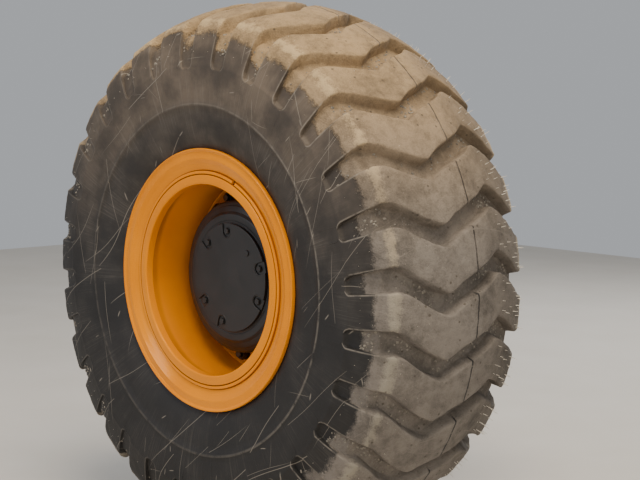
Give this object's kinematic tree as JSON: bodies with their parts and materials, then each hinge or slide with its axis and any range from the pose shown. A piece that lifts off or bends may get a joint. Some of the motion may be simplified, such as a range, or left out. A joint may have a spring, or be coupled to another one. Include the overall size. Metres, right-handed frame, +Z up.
{
  "type": "wheel loader wheel end",
  "caption": "Wheel loader wheel end: deep-lugged earthmover tyre on an orange multi-piece rim, with its planetary hub, disc brake and axle arm.",
  "frame": {"origin": "centre of the face where the axle arm bolts to the axle's centre housing", "axes": "+Y along the wheel's axis towards the middle of the machine, the wheel's outer side faces -Y, +Z up, +X across"},
  "size_m": [1.6152, 1.1635, 1.6152],
  "materials": {
    "tyre": "dry black rubber, the tread caked with tan dust",
    "rim_paint": "glossy orange-yellow paint",
    "axle_paint": "satin dark grey paint over castings",
    "fastener_steel": "dark phosphated steel",
    "brake_iron": "machined iron with a rusty edge",
    "machined_steel": "turned steel",
    "valve_brass": "dull brass",
    "black_rubber": "black seal rubber",
    "black_plastic": "matte black",
    "brake_lining": "dark friction lining"
  },
  "bodies": {
    "axle_end": {"axle_arm": "axle_paint", "spindle": "machined_steel", "hub_seal": "black_rubber", "brake_bracket": "axle_paint", "brake_caliper": "axle_paint", "outer_brake_pad": "brake_lining", "inner_brake_pad": "brake_lining", "shaft_bush": "valve_brass"},
    "wheel": {"tyre": "tyre", "rim_base": "rim_paint", "outer_flange": "rim_paint", "inner_flange": "rim_paint", "bead_seat_band": "rim_paint", "lock_ring": "rim_paint", "rim_disc": "rim_paint", "wheel_hub": "axle_paint", "final_drive": "axle_paint", "hub_cover": "axle_paint", "cover_bolts": "axle_paint", "oil_plug": "axle_paint", "wheel_nuts": "fastener_steel", "brake_disc": "brake_iron", "valve_stem": "valve_brass", "valve_cap": "black_plastic"},
    "half_shaft": {"half_shaft": "machined_steel"}
  },
  "joints": [
    {"name": "wheel_spin", "type": "hinge", "parent": "axle_end", "child": "wheel", "pos_m": [0, -0.79, 0], "axis": [0, 1, 0], "continuous": true},
    {"name": "shaft_spin", "type": "hinge", "parent": "axle_end", "child": "half_shaft", "pos_m": [0, 0, 0], "axis": [0, 1, 0], "continuous": true}
  ],
  "couplings": [
    {"joint": "shaft_spin", "follows": "wheel_spin", "ratio": 4.875}
  ]
}
